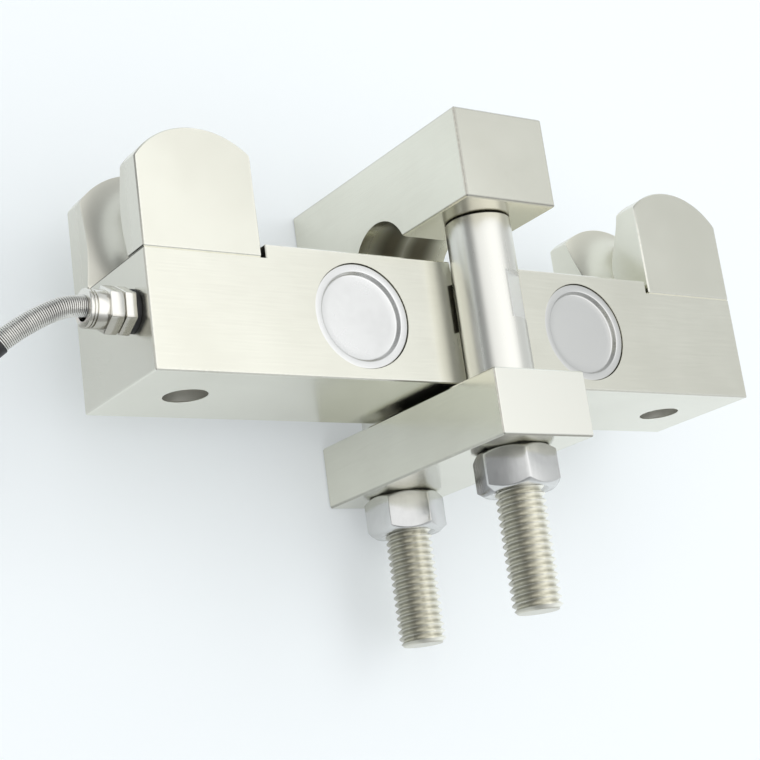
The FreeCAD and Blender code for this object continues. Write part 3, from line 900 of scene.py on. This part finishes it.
# A closed profile round the hole: countersinks, end faces, cones and walls.
def nutSurface(n, end):
    low, high = millimetreBox(end + "_clamp_nut")
    corner = math.radians(n["corner"][end])
    turn = hexTurn(corner)
    wall = hexRadius(turn, n["flats"], corner, n["rounding"])
    sink = n["countersink"] - n["bore"]
    before = evenRows([(n["bore"], low[1] + sink), (n["countersink"], low[1])], turn)
    hexagon = hexRows(wall, low[1], high[1], n["faces"], n["slope"], n["edge"])
    after = evenRows([(n["countersink"], high[1]), (n["bore"], high[1] - sink)], turn)
    base = (0, 0, (low[2] + high[2]) / 2)
    return patch(turned(base, "stud", *joined(before, hexagon, after), turn), True)


for end in ("front", "rear"):
    makePiece(end + "Nut", [nutSurface(nut, end)], "nut", (end + "_clamp_nut",))
print("nuts made")


cover = {
    "radius": 12.9,
    "height": 2.9,
    "rim": 1.9,
    "dish": 10.6,
    "dishDepth": 1.3,
    "backRing": 0.4,        # of the back, round its flat middle
    "floorRing": 2.0,       # of the floor, in the same way
    "backRounding": 0.1,
    "rimRounding": (0.2, 0.3),
    "dishRounding": 0.4,
    "roundSteps": 6,
    "segments": 120,
}


# A turned profile from the back's edge, over the rim and down the sloped wall to the dished floor.
def coverSurface(c, node, facing):
    low, high = millimetreBox(node)
    base = (low + high) / 2
    base[2] = low[2] if facing == "up" else high[2]
    outer, inner, height = c["radius"], c["dish"], c["height"]
    floor = height - c["dishDepth"]
    profile = [
        (outer - c["backRing"], 0), (outer, 0), (outer, height), (outer - c["rim"], height),
        (inner, floor), (inner - c["floorRing"], floor),
    ]
    cut = [0, c["backRounding"], *c["rimRounding"], c["dishRounding"], 0]
    profile = softProfile(profile, cut, c["roundSteps"])
    return patch(turned(base, facing, profile[:, :1], profile[:, 1:], circle(c["segments"])))


for face, facing in (("front", "up"), ("rear", "down")):
    for end in ("left", "right"):
        node = face + "_" + end + "_cover"
        name = face + end.capitalize() + "Cover"
        makePiece(name, [coverSurface(cover, node, facing)], "cover", (node,))
print("covers made")


gland = {
    "base": (-90.0, 12.1, 47.35),
    "corner": math.radians(2.6),
    "flats": 9.7,
    "rounding": 0.25,
    "bodyFaces": (6.0, 6.0),    # wider than the corners, so not turned off
    "nutFaces": (4.95, 6.0),
    "slope": math.tan(math.radians(30)),
    "edge": 0.06,
    "spigot": (4.0, -7.0),      # radius, and how far into the beam
    "spigotChamfer": 0.4,
    "seal": (4.95, 1.2),
    "sealRounding": (0.1, 0.3, 0.3, 0.1),
    "sealSteps": 5,
    "sealSegments": 64,
    "bodyHex": (1.2, 3.8),
    "neck": (3.2, 7.8),
    "bore": 2.2,
    "nutHex": (4.05, 7.3),
    "nutShell": [
        (4.0, 7.3), (4.3, 7.3), (4.4, 7.4), (4.4, 9.95), (4.0, 10.05), (4.0, 10.25), (4.35, 10.25),
        (4.35, 10.7), (4.0, 10.7), (4.0, 10.9), (4.4, 10.9), (4.4, 11.55), (4.2, 11.75), (2.9, 11.75),
    ],
    "shellRounding": 0.08,
    "shellSteps": 3,
    "nutBore": [(2.9, 9.0), (3.3, 9.0), (3.3, 4.05)],
}


def glandHexagon(g, turn, span, faces):
    wall = hexRadius(turn, g["flats"], g["corner"], g["rounding"])
    return hexRows(wall, *span, faces, g["slope"], g["edge"])


# Spigot, hexagon and neck round one bore.
def glandBodySurface(g):
    turn = hexTurn(g["corner"])
    bore, chamfer = g["bore"], g["spigotChamfer"]
    hexStart, hexEnd = g["bodyHex"]
    radius, start = g["spigot"]
    spigot = [(bore, start), (radius - chamfer, start), (radius, start + chamfer), (radius, hexStart)]
    radius, end = g["neck"]
    neck = [(radius, hexEnd), (radius, end), (bore, end)]
    hexagon = glandHexagon(g, turn, g["bodyHex"], g["bodyFaces"])
    rows = joined(evenRows(spigot, turn), hexagon, evenRows(neck, turn))
    return patch(turned(g["base"], "gland", *rows, turn), True)


# Hexagon, collar, bead and lip round the mouth that holds the spring.
def glandNutSurface(g):
    turn = hexTurn(g["corner"])
    hexagon = glandHexagon(g, turn, g["nutHex"], g["nutFaces"])
    shell = softProfile(g["nutShell"], g["shellRounding"], g["shellSteps"])
    rows = joined(hexagon, evenRows(shell, turn), evenRows(g["nutBore"], turn))
    return patch(turned(g["base"], "gland", *rows, turn), True)


# A ring of oblong section with its outer corners rounded.
def glandSealSurface(g):
    radius, length = g["seal"]
    hole = g["spigot"][0]
    section = [(hole, 0), (radius, 0), (radius, length), (hole, length)]
    profile = softProfile(section, g["sealRounding"], g["sealSteps"], True)
    turn = circle(g["sealSegments"])
    return patch(turned(g["base"], "gland", profile[:, :1], profile[:, 1:], turn), True)


glandBody = makePiece("glandBody", [glandBodySurface(gland)], "gland", ("gland_body",))
glandNut = makePiece("glandNut", [glandNutSurface(gland)], "gland", ("gland_nut",))
glandSeal = makePiece("glandSeal", [glandSealSurface(gland)], "rubber", ("gland_seal",),
                      sharp=50)
print("gland made")


coilTie = {
    "angle": 20.0,          # start of the band on the coil, from X towards Y
    "width": 5.0,
    "thickness": 0.8,
    "radius": 18.0,         # middle of the turns
    "size": (15.0, 18.0),   # of the coil's section
    "rounding": 2.0,
    "outerRounding": 0.6,   # more of it outside, as a share of the thickness
    "roundSteps": 8,
    "low": 0.8,
    # corners of the band's section, as shares of its width and of its thickness
    "across": (0.02, 0.5, 0.98, 1.0, 1.0, 0.98, 0.5, 0.02, 0.0, 0.0),
    "through": (0.0, 0.0, 0.0, 0.15, 0.85, 1.0, 1.0, 1.0, 0.85, 0.15),
    "head": (3.4, 3.2, 4.6),
    "headPower": 8,         # how square it is
    "headHeight": 0.62,     # as a share of the coil's section
    "headSunk": 0.3,        # into the band
    "headRows": 26,
    "headSegments": 48,
}


# The band's flat section goes round the coil's section: a rounded oblong, offset by the band's thickness.
def tieBand(t):
    width, height = t["size"]
    corner = np.array([(-width / 2, 0), (width / 2, 0), (width / 2, height), (-width / 2, height)])
    inside = softProfile(corner, t["rounding"], t["roundSteps"], True)
    outer = corner + t["thickness"] * np.sign(corner - (0, height / 2))
    outerRounding = t["rounding"] + t["thickness"] * t["outerRounding"]
    outside = softProfile(outer, outerRounding, t["roundSteps"], True)
    depth = np.array(t["through"])
    section = inside[:, None] + depth[None, :, None] * (outside - inside)[:, None]
    turn = math.radians(t["angle"]) + np.array(t["across"]) * t["width"] / t["radius"]
    reach = t["radius"] + section[..., 0]
    x = cable["coilMiddle"][0] + reach * np.cos(turn)
    y = cable["coilMiddle"][1] + reach * np.sin(turn)
    return patch(np.stack([x, y, section[..., 1] + t["low"]], -1), True)


# The head is a box with round edges: each direction of a sphere, pushed out by a high power.
def tieHead(t):
    power = t["headPower"]
    rise = np.linspace(-1, 1, t["headRows"])[1:-1, None] * math.pi / 2
    turn = circle(t["headSegments"])[None, :]
    sphere = [np.cos(rise) * np.cos(turn), np.cos(rise) * np.sin(turn), np.sin(rise) + 0 * turn]
    sphere = np.stack(sphere, -1)
    box = sphere / (np.abs(sphere) ** power).sum(-1, keepdims=True) ** (1 / power)
    box = box * np.array(t["head"]) / 2
    angle = math.radians(t["angle"]) + t["width"] / t["radius"] / 2
    outward = np.array([math.cos(angle), math.sin(angle), 0])
    beside = np.array([-outward[1], outward[0], 0])
    upward = np.array([0, 0, 1])
    reach = t["radius"] + t["size"][0] / 2 + t["thickness"] + t["head"][0] / 2 - t["headSunk"]
    middle = np.array([*cable["coilMiddle"], t["low"] + t["size"][1] * t["headHeight"]]) + outward * reach
    return patch(middle + box[..., :1] * outward + box[..., 1:2] * beside + box[..., 2:] * upward)


tie = makePiece("coilTie", [tieBand(coilTie), tieHead(coilTie)], "tie", ("coil_tie",))
print("tie made")


leads = {
    "reach": 20.0,
    "bend": 8.0,
    "fan": 2.6,
    "spread": 0.7,
    "pitch": 1.0,
    "insulation": 0.4,
    "conductor": 0.24,
    "bare": 5.0,
    "sunk": 0.5,            # into the jacket
    "coreSunk": 1.0,        # into the insulation
    "endRun": 0.05,         # bevel where the insulation is cut
    "endDrop": 0.06,
    "pathSteps": 24,
    "rows": 40,
    "coreRows": 14,
    "sides": 14,
    "rough": 0.4,
    "darkShare": 0.8,
    "colours": [(0.55, 0.04, 0.03), (0.03, 0.03, 0.032), (0.05, 0.3, 0.1), (0.75, 0.74, 0.7)],
    "places": [(-1, -1), (-1, 1), (1, 1), (1, -1)],
}


# Four leads fan out from the jacket's end: round insulation, then a thinner bare conductor.
def leadPieces(d):
    last, before = tail[-1], tail[-2]
    upright = (0, 0, 1)
    ahead = unit(last - before)
    across = unit(np.cross(ahead, upright))
    upward = np.cross(across, ahead)
    turn = circle(d["sides"])
    made = []
    for i, (column, row) in enumerate(d["places"]):
        sideways = column * d["pitch"] / 2
        fan = (i - (len(d["places"]) - 1) / 2) * d["fan"]
        points = np.stack([
            last + across * sideways + upward * (row * d["pitch"] / 2),
            last + ahead * d["bend"] + across * (sideways + d["spread"] * fan),
            last + ahead * d["reach"] + across * fan,
        ])
        points[1:, 2] = d["insulation"]
        line = splineCurve("leadLine", points, d["pathSteps"])
        path = Path(curvePoints(line))
        bpy.data.objects.remove(line)
        cutAt = path.length - d["bare"]
        skin = np.append(np.linspace(-d["sunk"], cutAt - d["endRun"], d["rows"]), cutAt)
        size = np.append(np.full(d["rows"], d["insulation"]), d["insulation"] - d["endDrop"])
        core = np.linspace(cutAt - d["coreSunk"], path.length, d["coreRows"])
        tone = d["colours"][i]
        darkTone = tuple(d["darkShare"] * part for part in tone)
        look = rubberLook | {"light": tone, "dark": darkTone, "rough": d["rough"]}
        name = "lead" + str(i + 1)
        finishes[name] = softFinish(name + "Insulation", look)
        covered = patch(carried(path, skin, size, turn, upright))
        made.append(makePiece(name, [covered], name, ("lead_wires",), sharp=50))
        bare = patch(carried(path, core, np.full(len(core), d["conductor"]), turn, upright))
        made.append(makePiece(name + "Conductor", [bare], "copper", sharp=50))
    return made


leadSet = leadPieces(leads)
print("leads made:", len(leadSet))


smoothCopies = [
    ("gaugedBeam", "sensor_beam", "beam", "plated_steel"),
    ("clampBlock", "clamp_block", "block", "plated_steel"),
    ("clampPlate", "clamp_plate", "plate", "plated_steel"),
    ("leftSaddle", "left_rope_saddle", "leftSaddle", "plated_steel"),
    ("rightSaddle", "right_rope_saddle", "rightSaddle", "plated_steel"),
    ("leftScrew", "left_saddle_screw", "screw", "bright_steel"),
    ("rightScrew", "right_saddle_screw", "screw", "bright_steel"),
]
for name, node, finish, slot in smoothCopies:
    smoothCopy(name, node, finish)

insideNodes = {
    "gland_grommet": "rubber",
    "inner_cable": "jacket",
    "terminal_board": "board",
    "cable_cores": "cores",
    "link_wires": "cores",
    "front_left_gauge": "film",
    "front_right_gauge": "film",
    "rear_left_gauge": "film",
    "rear_right_gauge": "film",
}
for node, finish in insideNodes.items():
    nodes[node].data.materials.clear()
    nodes[node].data.materials.append(finishes[finish])
print("body dressed")


room = {
    "floorSize": 30.0,
    "floorColour": (0.915, 0.96, 0.975),
    "floorLift": 0.27,                      # share of white that the camera and the metal see
    "white": (0.94, 0.97, 1.0),
    "brightSide": (0.97, 0.2, 0.14),
    "darkWall": (0.3, 0.31, 0.315),
    "brightWall": (0.73, 0.75, 0.76),
    "wallSpan": (-0.8, 0.8),                # from dark to bright, towards the bright side
    "ceilingDim": (1.15, 1.16, 1.17),       # a wide softbox overhead, brighter to one side
    "ceilingBright": (1.36, 1.37, 1.38),
    "ceilingSpan": (-0.5, 0.2),
    # heading and height of each edge of the softbox, in degrees, and its blur
    "ceilingEdges": [(28, 50, 0.18), (90, 45, 0.1), (180, 29, 0.2), (270, 45, 0.1)],
}

shadowLight = {
    "place": (0.75, 0.35, 0.9),
    "aim": (0, 0, 0),
    "size": (0.6, 0.6),
    "glow": 1.2,
}


# a flat lamp that faces its aim and doesn't show in the metal; its power is its glow times its area
def addSoftLight(name, lamp):
    data = bpy.data.lights.new(name, "AREA")
    data.shape = "RECTANGLE"
    data.size, data.size_y = lamp["size"]
    data.energy = lamp["glow"] * math.pi * data.size * data.size_y
    light = newObject(name, data)
    light.location = lamp["place"]
    light.rotation_euler = (light.location - Vector(lamp["aim"])).to_track_quat("Z", "Y").to_euler()
    light.visible_camera = False
    light.visible_glossy = False


# walls graded from one side to the other, and the softbox, whose share is a product of its soft edges
def buildWorld(r):
    world = bpy.data.worlds.new("studioRoom")
    bpy.context.scene.world = world
    world.use_nodes = True
    sheet = Sheet(world.node_tree)
    direction = sheet.node("ShaderNodeTexCoord", out="Generated")
    towards = sheet.along(direction, r["brightSide"])
    walls = sheet.blend(sheet.ease(towards, *r["wallSpan"]), r["darkWall"], r["brightWall"])
    overhead = 1.0
    for heading, height, blur in r["ceilingEdges"]:
        heading, height = math.radians(heading), math.radians(height)
        level = -math.sin(height)
        inward = (math.cos(heading) * level, math.sin(heading) * level, math.cos(height))
        overhead = sheet.ease(sheet.along(direction, inward), -blur, blur) * overhead
    ceiling = sheet.blend(sheet.ease(towards, *r["ceilingSpan"]), r["ceilingDim"], r["ceilingBright"])
    colour = sheet.blend(overhead, walls, ceiling)
    background = sheet.node("ShaderNodeBackground", None, {"Color": colour, "Strength": 1.0})
    sheet.node("ShaderNodeOutputWorld", None, {"Surface": background})


# a matt floor with the shadow on it; some white is mixed in for what the camera and the metal see
def buildFloor(r):
    material, sheet = newFinish("tableTop")
    camera, glossy, through = [sheet.node("ShaderNodeLightPath", out=ray) for ray in
                               ("Is Camera Ray", "Is Glossy Ray", "Is Transmission Ray")]
    seen = sheet.maths("MINIMUM", camera + glossy + through, 1.0)
    diffuse = sheet.node("ShaderNodeBsdfDiffuse", None, {"Color": (*r["floorColour"], 1)})
    white = sheet.node("ShaderNodeEmission", None, {"Color": (*r["white"], 1), "Strength": 1.0})
    mixed = sheet.node("ShaderNodeMixShader", None, {0: seen * r["floorLift"], 1: diffuse, 2: white})
    sheet.node("ShaderNodeOutputMaterial", None, {"Surface": mixed})
    side = r["floorSize"] / 2
    corners = [(-side, -side, 0), (side, -side, 0), (side, side, 0), (-side, side, 0)]
    mesh = bpy.data.meshes.new("tableTop")
    mesh.from_pydata(corners, [], [(0, 1, 2, 3)])
    mesh.materials.append(material)
    floor = newObject("tableTop", mesh)


buildWorld(room)
buildFloor(room)
addSoftLight("shadowLight", shadowLight)
bpy.context.scene.view_settings.view_transform = "Standard"
print("room built")
